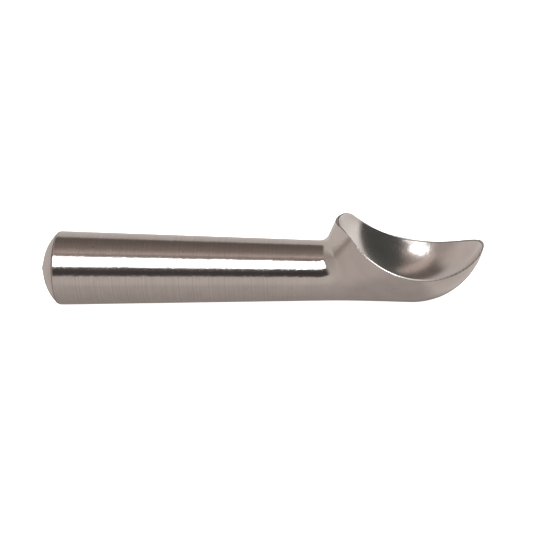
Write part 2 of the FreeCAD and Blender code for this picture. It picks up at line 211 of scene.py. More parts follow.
coordinates = add_node(tree, "TexCoord", {}, {})
direction = add_node(tree, "SeparateXYZ", {}, {"Vector": coordinates.outputs["Generated"]})
front = add_node(tree, "Math", {"operation": "MULTIPLY"}, {0: direction.outputs["Y"], 1: -1.0})
# The arc tangent runs from -180 to 180 degrees, and the ramps from 0 to 1.
around = add_node(tree, "Math", {"operation": "ARCTAN2"}, {0: direction.outputs["Z"], 1: front})
band_place = add_node(tree, "MapRange", {}, {
    "Value": around, "From Min": -math.pi, "From Max": math.pi})

# Angle about X, and the colour of the room there as the metal shows it.
MIDDLE_OF_ROOM = [
    (-180, "c0b8b3"), (-163, "aca39e"), (-158, "6b635e"), (-148, "7b736e"), (-125, "88807a"),
    (-100, "8d847f"), (-75, "948a84"), (-45, "9c928d"), (-28, "aba19b"), (-9, "aca29c"),
    (-4, "3f3b3a"), (8, "37302f"), (22, "47413e"), (54, "7a6f69"), (61, "756962"),
    (68, "a5958b"), (75, "8d7f77"), (84, "756962"), (104, "625751"), (120, "5b514c"),
    (127, "5f5550"), (134, "a59c96"), (160, "b1a8a3"),
]
LEFT_END = [
    (-180, "b0a6a0"), (-90, "a0958f"), (-20, "a89e98"), (5, "9f958f"), (30, "9a908a"),
    (50, "968c86"), (68, "8d837d"), (84, "958b85"), (100, "a2988f"), (115, "aca29b"),
]
RIGHT_END = [
    (-180, "d6cfc9"), (-150, "b4aca6"), (-90, "a79d96"), (-20, "a99f98"), (0, "8c837c"),
    (15, "5b5653"), (35, "444241"), (80, "3f403d"), (112, "4a4845"), (127, "5f5b58"),
    (138, "bdb6b0"), (150, "d6cfc9"),
]
# Sine of the angle to the left or right at which an end of the room starts and is whole.
LEFT_STARTS, LEFT_WHOLE = -0.38, -0.66
RIGHT_STARTS, RIGHT_WHOLE = 0.10, 0.35


def add_bands(bands):
    """A colour ramp over the angle about X, with a stop for each (angle, colour)."""
    ramp = add_node(tree, "ValToRGB", {}, {"Fac": band_place})
    stops = ramp.color_ramp.elements
    stops.remove(stops[-1])
    for number, (angle, colour) in enumerate(bands + [(180, bands[0][1])]):
        place = (angle + 180) / 360
        stop = stops[0] if number == 0 else stops.new(place)
        stop.position = place
        stop.color = linear(colour)
    return ramp


left_share = add_node(tree, "MapRange", {"interpolation_type": "SMOOTHSTEP"}, {
    "Value": direction.outputs["X"], "From Min": LEFT_STARTS, "From Max": LEFT_WHOLE})
right_share = add_node(tree, "MapRange", {"interpolation_type": "SMOOTHSTEP"}, {
    "Value": direction.outputs["X"], "From Min": RIGHT_STARTS, "From Max": RIGHT_WHOLE})
# Sockets 6 and 7 of a colour Mix node are its two colours, and output 2 is the mixed one.
with_left = add_node(tree, "Mix", {"data_type": "RGBA"}, {
    0: left_share, 6: add_bands(MIDDLE_OF_ROOM), 7: add_bands(LEFT_END)})
with_right = add_node(tree, "Mix", {"data_type": "RGBA"}, {
    0: right_share, 6: with_left.outputs[2], 7: add_bands(RIGHT_END)})
# Aluminium gives back four fifths of the light, so the room is that much brighter.
METAL_SHARE = 0.80
room = add_node(tree, "Background", {}, {
    "Color": with_right.outputs[2], "Strength": 1 / METAL_SHARE})
add_node(tree, "OutputWorld", {}, {"Surface": room})
print("room bands:", len(MIDDLE_OF_ROOM), "and at the ends:", len(LEFT_END), len(RIGHT_END))

# %% [markdown]
# The softbox is a real lamp, a rectangle in front of the dipper, above it and a little to
# the left. Its mirror image is the white band on the grip. Two small panels hang close over
# the bowl: one makes the bright patch in the hollow, and a dim, warm one the soft band
# under it. A narrow light far behind, low and to the right, draws the bright line along
# the near side of the rim. The camera is told not to see any of these four, and meets only
# their mirror images. The sheet gets its own wide, soft light from straight above. Glossy
# rays don't see that one, or it would lay a white disc on every curve.

# %% Softbox, panels and top light
LAMP_DISTANCE = 1.1
SOFTBOX_AROUND = math.radians(38.5)
SOFTBOX_LEFT = -0.14
SOFTBOX_SIZE = (0.80, 0.56)
# Glare is power over area: 4 looks like white, and more spreads a little past the edge.
SOFTBOX_GLARE = 11.0
PATCH_PLACE = Vector((54.6, -2.6, 67.5)) * MM
PATCH_TARGET = Vector((65, 20, 12)) * MM
PATCH_SIZE = (21 * MM, 12 * MM)
PATCH_GLARE = 9.0
BAND_PLACE = Vector((57.8, 23, 66.8)) * MM
BAND_TARGET = Vector((63.8, 15, 8)) * MM
BAND_SIZE = (48 * MM, 14 * MM)
BAND_GLARE = 0.95
BAND_COLOUR = "f0ddd2"
RIM_LIGHT_WAY = Vector((0.34, 0.94, 0.19))
RIM_LIGHT_SIZE = (0.13, 0.26)
RIM_LIGHT_GLARE = 8.0
TOP_LIGHT_POWER = 3.6
TOP_LIGHT_SPREAD = math.radians(100)


def add_panel(name, shape, size, place, target, glare):
    """A flat lamp of this width and height at a place, facing a target."""
    lamp = bpy.data.objects.new(name, bpy.data.lights.new(name, "AREA"))
    lamp.data.shape = shape
    lamp.data.size, lamp.data.size_y = size
    lamp.data.energy = glare * size[0] * size[1]
    lamp.location = place
    lamp.rotation_euler = (place - target).to_track_quat("Z", "Y").to_euler()
    bpy.context.scene.collection.objects.link(lamp)
    return lamp


softbox_way = Vector((SOFTBOX_LEFT, -math.cos(SOFTBOX_AROUND), math.sin(SOFTBOX_AROUND)))
softbox = add_panel(
    "softbox", "RECTANGLE", SOFTBOX_SIZE, softbox_way * LAMP_DISTANCE, Vector(), SOFTBOX_GLARE)
patch = add_panel("patch_panel", "ELLIPSE", PATCH_SIZE, PATCH_PLACE, PATCH_TARGET, PATCH_GLARE)
band = add_panel("band_panel", "ELLIPSE", BAND_SIZE, BAND_PLACE, BAND_TARGET, BAND_GLARE)
band.data.color = linear(BAND_COLOUR)[:3]
rim_light = add_panel(
    "rim_light", "RECTANGLE", RIM_LIGHT_SIZE, RIM_LIGHT_WAY * LAMP_DISTANCE, Vector(),
    RIM_LIGHT_GLARE)
for panel in (softbox, patch, band, rim_light):
    panel.visible_camera = False

top_light = bpy.data.objects.new("top_light", bpy.data.lights.new("top_light", "SUN"))
top_light.data.energy = TOP_LIGHT_POWER
top_light.data.angle = TOP_LIGHT_SPREAD
top_light.location = (0, 0, 1)
top_light.visible_glossy = False
bpy.context.scene.collection.objects.link(top_light)
print("softbox at, mm:", [round(value / MM) for value in softbox.location])

# %% [markdown]
# ## The drawing
#
# The casting is one skin: grip, neck and bowl. Its sizes repeat the CAD model's, and the
# rest follows from them. Every cross-section from the butt of the grip to the start of
# the bowl is a circle that stands on the table, so a circle is given by its top and its
# foot. They fan round the crook between grip and bowl, a corner of 4 mm radius.

# %% Sizes of the grip and the bowl
OVERALL_LENGTH = 178.6 * MM
BUTT_RADIUS = 15.1 * MM
TAPER = math.radians(1.55)
CAP_HEIGHT = 6.65 * MM
PLUG_PROUD = 0.6 * MM
BOWL_RADIUS = 29.05 * MM
HOLLOW_RADIUS = 29.0 * MM
BOWL_FLOOR = 3.6 * MM
HOLLOW_FORWARD = 0.37 * MM
BACK_SLOPE = math.radians(65.1)
CROOK_RADIUS = 4.0 * MM
RIM_LOW = 15.9 * MM
RIM_FORWARD = 7.44 * MM
RIM_FRONT_RADIUS = 36.0 * MM
RIM_BACK_RADIUS = 40.4 * MM
RIM_TOP = 33.05 * MM
RIM_TOP_ROUND = 7.5 * MM
RIM_ROUND = 0.3 * MM
SEAM_ROUND = 0.5 * MM
# A strip beside a rounded edge is this many times as wide as its rounding, to make room.
SEAM_STRIP = 1.2 * SEAM_ROUND
RIM_STRIP = 1.5 * RIM_ROUND

# Side view of the rim: its front curve crosses the bowl's circle at the tip.
rim_rise = RIM_LOW + RIM_FRONT_RADIUS - BOWL_RADIUS
rim_offset = math.hypot(RIM_FORWARD, rim_rise)
tip_along = (BOWL_RADIUS ** 2 - RIM_FRONT_RADIUS ** 2 + rim_offset ** 2) / 2 / rim_offset
tip_across = math.sqrt(BOWL_RADIUS ** 2 - tip_along ** 2)
tip_reach = (tip_along * RIM_FORWARD + tip_across * rim_rise) / rim_offset
bowl_centre = Vector((OVERALL_LENGTH / 2 - tip_reach, 0, BOWL_RADIUS))
hollow_centre = Vector((bowl_centre.x + HOLLOW_FORWARD, 0, BOWL_FLOOR + HOLLOW_RADIUS))
rim_low_x = bowl_centre.x + RIM_FORWARD

# The grip's cone lies on the table, and so does the cone of the bowl's back.
seam = Vector((PLUG_PROUD + CAP_HEIGHT - OVERALL_LENGTH / 2, 0, BUTT_RADIUS * math.cos(TAPER)))
grip_apex = seam.x - BUTT_RADIUS * math.sin(TAPER) + BUTT_RADIUS / math.sin(TAPER)
half_slope = BACK_SLOPE / 2
back_reach = BOWL_RADIUS / math.tan(half_slope)
back_root = bowl_centre.x - back_reach
crook_turn = BACK_SLOPE + 2 * TAPER
crook_tangent = CROOK_RADIUS * math.tan(crook_turn / 2)
wedge_base = grip_apex - back_root
grip_end = wedge_base * math.sin(BACK_SLOPE) / math.sin(crook_turn) + crook_tangent
back_start = wedge_base * math.sin(2 * TAPER) / math.sin(crook_turn) + crook_tangent
crook = Vector((
    grip_apex - grip_end * math.cos(2 * TAPER) + CROOK_RADIUS * math.sin(2 * TAPER), 0,
    grip_end * math.sin(2 * TAPER) + CROOK_RADIUS * math.cos(2 * TAPER)))
cad_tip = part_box("scoop_body")[1].x
print("drawn tip and CAD tip, mm:", round(OVERALL_LENGTH / 2 / MM, 2), round(cad_tip / MM, 2))

# %% [markdown]
# ## Growing a skin ring by ring
#
# A casting like this can be cut from solids with booleans, but booleans leave slivers
# along the rim, and slivers show in a mirror finish. So the whole skin is one tube. It
# starts as a circle, its open edge is extruded again and again, and each new ring is
# moved to where it belongs. It starts at the closed end of the cavity in the grip, comes
# out over the butt, runs along the grip and the neck, spreads round the bowl, turns over
# the rim and closes at the bottom of the hollow.
#
# Each corner remembers its turn round the tube in a layer of the mesh. Extruding copies
# the layer, so the next ring knows where each of its corners belongs.

# %% Tube helpers
SIDES = 256
CAST, CORED, MOPPED, MILLED = range(4)


class Tube:
    """A skin that is grown ring by ring."""

    def __init__(self, sides, place):
        self.mesh = bmesh.new()
        self.turn = self.mesh.verts.layers.float.new("turn")
        corners = bmesh.ops.create_circle(self.mesh, segments=sides, radius=1)["verts"]
        self.edges = list(self.mesh.edges)
        for corner in corners:
            corner[self.turn] = math.atan2(corner.co.y, corner.co.x)
            corner.co = place(corner[self.turn])

    def corners(self):
        """The corners of the open ring."""
        return list({corner for edge in self.edges for corner in edge.verts})

    def grow(self, place, finish):
        """One more ring, at place(turn), with this finish on the strip that leads to it."""
        grown = bmesh.ops.extrude_edge_only(self.mesh, edges=self.edges)["geom"]
        self.edges = [item for item in grown if isinstance(item, bmesh.types.BMEdge)]
        for item in grown:
            if isinstance(item, bmesh.types.BMFace):
                item.material_index = finish
                item.smooth = True
        for corner in self.corners():
            corner.co = place(corner[self.turn])

    def close(self, point, finish):
        """Draw the open ring together in one point."""
        self.grow(lambda turn: point, finish)
        bmesh.ops.pointmerge(self.mesh, verts=self.corners(), merge_co=point)


def ring_between(top, foot):
    """Places on the circle that has top and foot at the two ends of a diameter."""
    middle, arm = (top + foot) / 2, (top - foot) / 2
    side = Vector((0, arm.length, 0))
    return lambda turn: middle + arm * math.cos(turn) + side * math.sin(turn)


def ring_on_grip(along, radius):
    """Places on a circle about the grip's axis, this far from the seam."""
    axis = Vector((math.cos(TAPER), 0, -math.sin(TAPER)))
    arm = Vector((math.sin(TAPER), 0, math.cos(TAPER))) * radius
    middle = seam + axis * along
    return ring_between(middle + arm, middle - arm)


print("sides of the tube:", SIDES)

# %% [markdown]
# ### The cavity in the grip
#
# A sand core leaves the cavity when the grip is cast. It has a round end, a long taper
# with a rough skin, and a bore at the mouth that is turned true, because the cap and its
# seal ring sit there.

# %% Cavity
GRIP_WALL = 3.0 * MM
CORE_WALL = 3.6 * MM
CORE_SETBACK = 9.0 * MM
SPIGOT_LENGTH = 13.0 * MM
BORE_SPARE = 1.5 * MM
NECK_LEAD = 10.0 * MM
ROUND_END_STEPS = 14
CORE_STEPS = 16
BORE_STEPS = 6

bore_radius = BUTT_RADIUS - GRIP_WALL
bore_depth = SPIGOT_LENGTH + BORE_SPARE
grip_length = (BUTT_RADIUS / math.sin(TAPER) - grip_end - NECK_LEAD) * math.cos(TAPER)
core_end = grip_length + NECK_LEAD - CORE_SETBACK
core_start_radius = BUTT_RADIUS - bore_depth * math.tan(TAPER) - CORE_WALL
core_end_radius = BUTT_RADIUS - core_end * math.tan(TAPER) - CORE_WALL

end_step = math.radians(90) / ROUND_END_STEPS
body = Tube(SIDES, ring_on_grip(
    core_end + core_end_radius * math.cos(end_step), core_end_radius * math.sin(end_step)))
first_ring = body.corners()
for step in range(2, ROUND_END_STEPS + 1):
    lean = end_step * step
    body.grow(ring_on_grip(
        core_end + core_end_radius * math.cos(lean), core_end_radius * math.sin(lean)), CORED)
bmesh.ops.contextual_create(body.mesh, geom=first_ring)
for step in range(1, CORE_STEPS + 1):
    share = step / CORE_STEPS
    along = core_end + (bore_depth - core_end) * share
    radius = core_end_radius + (core_start_radius - core_end_radius) * share
    body.grow(ring_on_grip(along, radius), CORED)
body.grow(ring_on_grip(bore_depth, bore_radius), MILLED)
for step in range(1, BORE_STEPS + 1):
    body.grow(ring_on_grip(bore_depth * (1 - step / BORE_STEPS), bore_radius), MILLED)
print("cavity, corners:", len(body.mesh.verts))

# %% [markdown]
# ### Grip and neck
#
# The skin comes out over the butt and runs along the cone. At the crook the circles fan
# out: the top of each goes round the small arc while its foot keeps to the table.

# %% Grip and neck
body.grow(ring_on_grip(0, BUTT_RADIUS), MILLED)
butt_edges = list(body.edges)
# A ring just past the butt keeps the rounding of its edge from bending the long strip.
body.grow(ring_on_grip(SEAM_STRIP, BUTT_RADIUS - SEAM_STRIP * math.tan(TAPER)), CAST)


def ring_on_cone(reach):
    """Places on the grip's cone, this far from its apex along the table."""
    top = Vector((grip_apex - reach * math.cos(2 * TAPER), 0, reach * math.sin(2 * TAPER)))
    return ring_between(top, Vector((grip_apex - reach, 0, 0)))


GRIP_STEPS = 26
butt_reach = BUTT_RADIUS / math.sin(TAPER)
for step in range(1, GRIP_STEPS + 1):
    body.grow(ring_on_cone(butt_reach + (grip_end - butt_reach) * step / GRIP_STEPS), CAST)

CROOK_STEPS = 20
foot_from = grip_apex - grip_end
foot_to = back_root + back_start
for step in range(1, CROOK_STEPS + 1):
    share = step / CROOK_STEPS
    lean = crook_turn * share - 2 * TAPER
    top = crook + CROOK_RADIUS * Vector((math.sin(lean), 0, -math.cos(lean)))
    foot = Vector((foot_from + (foot_to - foot_from) * share, 0, 0))
    body.grow(ring_between(top, foot), CAST)
print("with grip and neck, corners:", len(body.mesh.verts))

# %% [markdown]
# ### The outside of the bowl
#
# Behind, the bowl is a cone. It runs into the ball that the rest of the bowl is part of,
# and both share one axis, which climbs at half the slope of the back. A line along the
# skin in the plane of that axis is a meridian. Each meridian starts on the neck's last
# ring and ends where it meets the rim, so the rings between them are spread evenly along
# each one: they start as a circle and end as the rim's own curve. Halving an interval
# over and over finds where a meridian meets the rim.

# %% Meridians of the bowl
axis = Vector((math.cos(half_slope), 0, math.sin(half_slope)))
axis_up = Vector((-math.sin(half_slope), 0, math.cos(half_slope)))
cone_run = back_reach - back_start
ball_start = math.radians(90) - half_slope


def on_meridian(turn, run):
    """The place on the bowl's outside, this far along the meridian with this turn."""
    outward = axis_up * math.cos(turn) + Vector((0, math.sin(turn), 0))
    if run < cone_run:
        reach = back_start + run
        root = Vector((back_root, 0, 0))
        return root + reach * (axis * math.cos(half_slope) + outward * math.sin(half_slope))
    lean = ball_start + (run - cone_run) / BOWL_RADIUS
    return bowl_centre + BOWL_RADIUS * (outward * math.sin(lean) - axis * math.cos(lean))


# Back from its lowest point the rim rises on one arc and turns over another to a level top.
round_drop = RIM_BACK_RADIUS + RIM_TOP_ROUND - (RIM_TOP - RIM_LOW)
round_reach = math.sqrt((RIM_BACK_RADIUS + RIM_TOP_ROUND) ** 2 - round_drop ** 2)
meet_reach = round_reach * RIM_BACK_RADIUS / (RIM_BACK_RADIUS + RIM_TOP_ROUND)


def rim_height(x):
    """The height of the rim in the side view."""
    forward = x - rim_low_x
    if forward > -meet_reach:
        radius = RIM_FRONT_RADIUS if forward > 0 else RIM_BACK_RADIUS
        return RIM_LOW + radius - math.sqrt(radius ** 2 - min(forward, radius) ** 2)
    if forward > -round_reach:
        past_top = forward + round_reach
        return RIM_TOP - RIM_TOP_ROUND + math.sqrt(RIM_TOP_ROUND ** 2 - past_top ** 2)
    return RIM_TOP


HALVINGS = 50


def crossing(depth, near, far):
    """Where depth(value), positive at near and negative at far, passes nought."""
    for _ in range(HALVINGS):
        middle = (near + far) / 2
        if depth(middle) > 0:
            near = middle
        else:
            far = middle
    return near


longest = cone_run + BOWL_RADIUS * (math.pi - ball_start)
turns = sorted({corner[body.turn] for corner in body.corners()})
rim_runs = {
    turn: crossing(
        lambda run: rim_height(on_meridian(turn, run).x) - on_meridian(turn, run).z, 0, longest)
    for turn in turns}
print("meridians, mm:", round(min(rim_runs.values()) / MM, 1), round(max(rim_runs.values()) / MM, 1))

# %% Outside of the bowl
BOWL_STEPS = 64
for step in range(1, BOWL_STEPS + 1):
    body.grow(lambda turn: on_meridian(
        turn, (rim_runs[turn] - RIM_STRIP) * step / BOWL_STEPS), CAST)
body.grow(lambda turn: on_meridian(turn, rim_runs[turn]), CAST)
outer_rim = list(body.edges)
print("with the bowl's outside, corners:", len(body.mesh.verts))

# %% [markdown]
# ### Rim and hollow
#
# The rim's flat land crosses to the edge of the hollow. Seen from above, both ends of a
# crossing lie in the same direction from the middle of the bowl. The hollow's ball is
# nearly as large as the outside's, but its centre is 3.6 mm higher, which leaves the metal
# thick under the scoop and thin at the lip. Its rings slide from the rim to its lowest
# point along great circles.

# %% Rim and hollow
rim_middle = (bowl_centre.x + hollow_centre.x) / 2


def rim_place(bearing, out):
    """The place at the rim's height, this far out from the bowl's middle on a bearing."""
    x = rim_middle + out * math.cos(bearing)
    return Vector((x, out * math.sin(bearing), rim_height(x)))


def inner_rim(turn):
    """The place where the hollow's edge meets the rim, opposite the outside's."""
    outer = on_meridian(turn, rim_runs[turn])
    bearing = math.atan2(outer.y, outer.x - rim_middle)
    out = crossing(
        lambda value: HOLLOW_RADIUS - (rim_place(bearing, value) - hollow_centre).length,
        0, math.hypot(outer.x - rim_middle, outer.y))
    return rim_place(bearing, out)


inner_rims = {turn: inner_rim(turn) for turn in turns}
body.grow(lambda turn: inner_rims[turn], MILLED)
inner_rim_edges = list(body.edges)


def in_hollow(turn, share):
    """A place on the hollow: share 0 is at the rim and 1 at the lowest point."""
    out = (inner_rims[turn] - hollow_centre).normalized()
    down = Vector((0, 0, -1))
    arc = out.angle(down)
    mixed = out * math.sin((1 - share) * arc) + down * math.sin(share * arc)
    return hollow_centre + HOLLOW_RADIUS * mixed / math.sin(arc)


HOLLOW_STEPS = 56
# From the rim to the lowest point is an arc of about 60 degrees.
SHORT_ARC = HOLLOW_RADIUS * math.radians(60)
first_share = RIM_STRIP / SHORT_ARC
for step in range(HOLLOW_STEPS):
    share = first_share + (1 - first_share) * step / HOLLOW_STEPS
    body.grow(lambda turn: in_hollow(turn, share), MOPPED)
body.close(hollow_centre - Vector((0, 0, HOLLOW_RADIUS)), MOPPED)
print("whole skin, corners:", len(body.mesh.verts))

# %% [markdown]
# ### Rounding the edges and making the object
#
# A machined edge is never quite sharp. The rim's two edges and the edge at the butt get
# a small round with the bevel operator, which is what catches the light as a thin line.
# The corners inside the bore stay crisp, so they are marked sharp for shading.

# %% Round the rim and the butt
SHARP = math.radians(35)
WELD = 0.0005 * MM


def round_off(mesh, edges, radius, segments):
    """Round these edges of a bmesh."""
    bmesh.ops.bevel(
        mesh, geom=edges, offset=radius, offset_type="OFFSET", affect="EDGES",
        segments=segments, profile=0.5, material=-1, clamp_overlap=True)


def make_piece(name, mesh, node, materials):
    """An object from a bmesh, which stands for a CAD node and rides with the dipper."""
    bmesh.ops.remove_doubles(mesh, verts=mesh.verts, dist=WELD)
    bmesh.ops.recalc_face_normals(mesh, faces=mesh.faces)
    for face in mesh.faces:
        face.smooth = True
    for layer in list(mesh.verts.layers.float.values()):
        mesh.verts.layers.float.remove(layer)
    for edge in mesh.edges:
        edge.smooth = edge.calc_face_angle(0) < SHARP
    open_edges = sum(1 for edge in mesh.edges if not edge.is_manifold)
    triangles = sum(len(face.verts) - 2 for face in mesh.faces)
    volume = mesh.calc_volume()
    piece = bpy.data.objects.new(name, bpy.data.meshes.new(name))
    mesh.to_mesh(piece.data)
    mesh.free()
    bpy.context.scene.collection.objects.link(piece)
    for material in materials:
        piece.data.materials.append(material)
    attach(piece, "root")
    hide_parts(node)
    print(f"{name}: {triangles} triangles, {open_edges} open edges, {volume * 1e6:.2f} cm3")
    return piece


round_off(body.mesh, outer_rim + inner_rim_edges, RIM_ROUND, 4)
round_off(body.mesh, butt_edges, SEAM_ROUND, 5)
print("with rounded edges, corners:", len(body.mesh.verts))

# %% [markdown]
# ## The aluminium
#
# One casting has four finishes, and one face index of the mesh tells them apart. All are
# bare aluminium, so they share full metalness and nearly one colour. What differs is how
# the surface was left: turned on a lathe, cast against sand, mopped or milled.
#
# Every pattern reads places in metres from the object's own coordinates. A Mapping node
# turns those so that X is the grip's axis. A tool's marks then follow the length along
# that axis or the radius about it, and the scale of a pattern is one over its size.

# %% Bare aluminium
ALUMINIUM = "e8e5e4"
# The dark end of every finish: dull tone on most of them, and painted shade on the milled rim.
DULL_TONE_AND_PAINTED_SHADE = "3f3b38"
FRESHLY_CUT = "fafaf9"


def along_grip(tree):
    """Coordinates with X along the grip's axis from the seam."""
    coordinates = add_node(tree, "TexCoord", {}, {})
    return add_node(tree, "Mapping", {"vector_type": "TEXTURE"}, {
        "Vector": coordinates.outputs["Object"], "Location": seam, "Rotation": (0, TAPER, 0)})


def bare_metal(tree, darkening, roughness, bumps, bright=ALUMINIUM):
    """Aluminium: darkening 0 to 1 darkens it, as dull tone, and on the rim as painted shade; each
    bump is a (height, depth) pair.
    """
    raised = None
    for height, depth in bumps:
        under = {} if raised is None else {"Normal": raised}
        raised = add_node(tree, "Bump", {}, {"Distance": depth, "Height": height, **under})
    shade = add_node(tree, "Mix", {"data_type": "RGBA"}, {
        0: darkening, 6: linear(bright), 7: linear(DULL_TONE_AND_PAINTED_SHADE)})
    surface = add_node(tree, "BsdfPrincipled", {}, {
        "Base Color": shade.outputs[2], "Metallic": 1.0, "Roughness": roughness,
        "Normal": raised})
    add_node(tree, "OutputMaterial", {}, {"Surface": surface})


print("the grip's axis leans, degrees:", round(math.degrees(TAPER), 2))

# %% [markdown]
# ### Turned skin
#
# Cast aluminium whose grip is turned in a lathe and then buffed. The feed of the tool
# leaves rings, 0.2 mm apart. They are too fine to show, so they are drawn 0.7 mm apart, as
# faint streaks across the grip. They fade out on the neck and the bowl, which are only
# buffed: those show the uneven hand of the buffing wheel, and a few pores of the casting.

# %% Turned skin
turned_skin, tree = new_material("cast_aluminium_turned_and_buffed")
vector = along_grip(tree)
length = add_node(tree, "SeparateXYZ", {}, {"Vector": vector}).outputs["X"]
feed = add_node(tree, "TexNoise", {"noise_dimensions": "1D"}, {
    "W": length, "Scale": 1 / (0.7 * MM), "Detail": 3.0})
on_grip = add_node(tree, "MapRange", {}, {
    "Value": length, "From Min": 85 * MM, "From Max": 125 * MM, "To Min": 1.0, "To Max": 0.15})
rings = add_node(tree, "Math", {"operation": "MULTIPLY"}, {0: feed, 1: on_grip})
hand = add_node(tree, "TexNoise", {}, {"Vector": vector, "Scale": 1 / (7 * MM), "Detail": 3.0})
grain = add_node(tree, "TexNoise", {}, {"Vector": vector, "Scale": 1 / (1.3 * MM), "Detail": 3.0})
pitted = add_node(tree, "TexNoise", {}, {"Vector": vector, "Scale": 1 / (1.6 * MM), "Detail": 1.0})

# %% Turned skin, shade and sheen
ring_shade = add_node(tree, "MapRange", {}, {
    "Value": rings, "From Min": 0.3, "From Max": 0.75, "To Min": 0.0, "To Max": 0.09})
hand_shade = add_node(tree, "MapRange", {}, {
    "Value": hand, "From Min": 0.35, "From Max": 0.7, "To Min": 0.0, "To Max": 0.07})
pore_shade = add_node(tree, "MapRange", {}, {
    "Value": pitted, "From Min": 0.20, "From Max": 0.27, "To Min": 0.2, "To Max": 0.0})
darkening = add_node(tree, "Math", {"operation": "ADD"}, {0: hand_shade, 1: pore_shade})
darkening = add_node(tree, "Math", {"operation": "ADD"}, {0: ring_shade, 1: darkening})
hand_sheen = add_node(tree, "MapRange", {}, {
    "Value": hand, "From Min": 0.3, "From Max": 0.7, "To Min": 0.08, "To Max": 0.12})
ring_sheen = add_node(tree, "MapRange", {}, {
    "Value": rings, "From Min": 0.35, "From Max": 0.75, "To Min": 0.0, "To Max": 0.07})
roughness = add_node(tree, "Math", {"operation": "ADD"}, {0: hand_sheen, 1: ring_sheen})
bare_metal(tree, darkening, roughness, [
    (rings, 0.006 * MM), (hand, 0.06 * MM), (grain, 0.03 * MM)])
print(turned_skin.name, "nodes:", len(tree.nodes))

# %% [markdown]
# ### Cored skin
#
# Aluminium as it comes off a sand core, inside the grip. It is rough and matt, and grains
# of sand about 0.3 mm across have left their print. They are drawn at 0.5 mm.

# %% Cored skin
cored_skin, tree = new_material("cast_aluminium_off_the_core")
vector = along_grip(tree)
sand = add_node(tree, "TexNoise", {}, {"Vector": vector, "Scale": 1 / (0.5 * MM), "Detail": 2.0})
flow = add_node(tree, "TexNoise", {}, {"Vector": vector, "Scale": 1 / (9 * MM), "Detail": 2.0})
darkening = add_node(tree, "MapRange", {}, {
    "Value": flow, "From Min": 0.3, "From Max": 0.7, "To Min": 0.2, "To Max": 0.4})
roughness = add_node(tree, "MapRange", {}, {
    "Value": sand, "From Min": 0.3, "From Max": 0.7, "To Min": 0.45, "To Max": 0.65})
bare_metal(tree, darkening, roughness, [(sand, 0.08 * MM), (flow, 0.2 * MM)])
print(cored_skin.name, "nodes:", len(tree.nodes))

# %% [markdown]
# ### Mopped hollow
#
# The hollow is smoothed with a felt mop on a spindle. It is the brightest part, but a mop
# doesn't cut true: reflections swim a little, and fine dimples break up their edges.

# %% Mopped hollow
mopped_skin, tree = new_material("cast_aluminium_mopped")
vector = along_grip(tree)
swim = add_node(tree, "TexNoise", {}, {"Vector": vector, "Scale": 1 / (8 * MM), "Detail": 2.0})
dimples = add_node(tree, "TexNoise", {}, {"Vector": vector, "Scale": 1 / (0.7 * MM), "Detail": 2.0})
darkening = add_node(tree, "MapRange", {}, {
    "Value": swim, "From Min": 0.35, "From Max": 0.7, "To Min": 0.0, "To Max": 0.08})
roughness = add_node(tree, "MapRange", {}, {
    "Value": dimples, "From Min": 0.3, "From Max": 0.7, "To Min": 0.13, "To Max": 0.24})
bare_metal(tree, darkening, roughness, [(swim, 0.05 * MM), (dimples, 0.03 * MM)])
print(mopped_skin.name, "nodes:", len(tree.nodes))

# %% [markdown]
# ### Milled rim
#
# The rim's land and the bore are cut by a tool and left so. The cutter chatters, and
# leaves a tick about every half millimetre across the land. Behind, the land keeps its
# bright colour. Its top and the lip that digs get painted shade: their colour is darkened
# by place along the grip, in place of the darker reflections there, and the bore behind
# gets it too. The ticks break up that painted shade.

# %% Milled rim
milled_skin, tree = new_material("cast_aluminium_milled_with_painted_shade")
vector = along_grip(tree)
length = add_node(tree, "SeparateXYZ", {}, {"Vector": vector}).outputs["X"]
bowl_middle = bowl_centre.x - seam.x
# Painted shade: the colour goes darker towards the digging lip, by place along the grip.
painted_lip_shade = add_node(tree, "MapRange", {}, {
    "Value": length, "From Min": bowl_middle + 2 * MM, "From Max": bowl_middle + 14 * MM,
    "To Min": 0.0, "To Max": 0.85})
# Painted shade: the colour goes darker at the top of the rim and all the way back, the bore
# included.
painted_top_shade = add_node(tree, "MapRange", {}, {
    "Value": length, "From Min": bowl_middle - 20 * MM, "From Max": bowl_middle - 16 * MM,
    "To Min": 1.0, "To Max": 0.0})
painted_rim_shade = add_node(tree, "Math", {"operation": "MAXIMUM"}, {0: painted_lip_shade, 1: painted_top_shade})
chatter = add_node(tree, "TexNoise", {"noise_dimensions": "1D"}, {
    "W": length, "Scale": 1 / (0.55 * MM), "Detail": 1.0})
ticks = add_node(tree, "MapRange", {}, {
    "Value": chatter, "From Min": 0.35, "From Max": 0.6, "To Min": 0.55, "To Max": 1.0})
# The painted shade, broken up by the chatter ticks, darkens the milled colour.
darkening = add_node(tree, "Math", {"operation": "MULTIPLY"}, {0: painted_rim_shade, 1: ticks})
bare_metal(tree, darkening, 0.18, [(chatter, 0.03 * MM)], bright=FRESHLY_CUT)

make_piece(
    "dipper_casting", body.mesh, "scoop_body",
    [turned_skin, cored_skin, mopped_skin, milled_skin])

# %% [markdown]
# ## The end cap
#
# The cap closes the cavity. It is turned from bar: a low dome outside, and a hollow spigot
# that is pressed into the bore, with a groove for the seal ring and a stepped hole for the
# fill plug. Anything turned on a lathe is a half outline spun round its axis, so that is
# how it is made: the outline lies along X from the seam, and the spun piece is then put
# on the grip's axis.

# %% Turned pieces
PLACE_ON_GRIP = Matrix.Translation(seam) @ Matrix.Rotation(TAPER, 4, "Y")
EDGE_REACH = 0.01 * MM


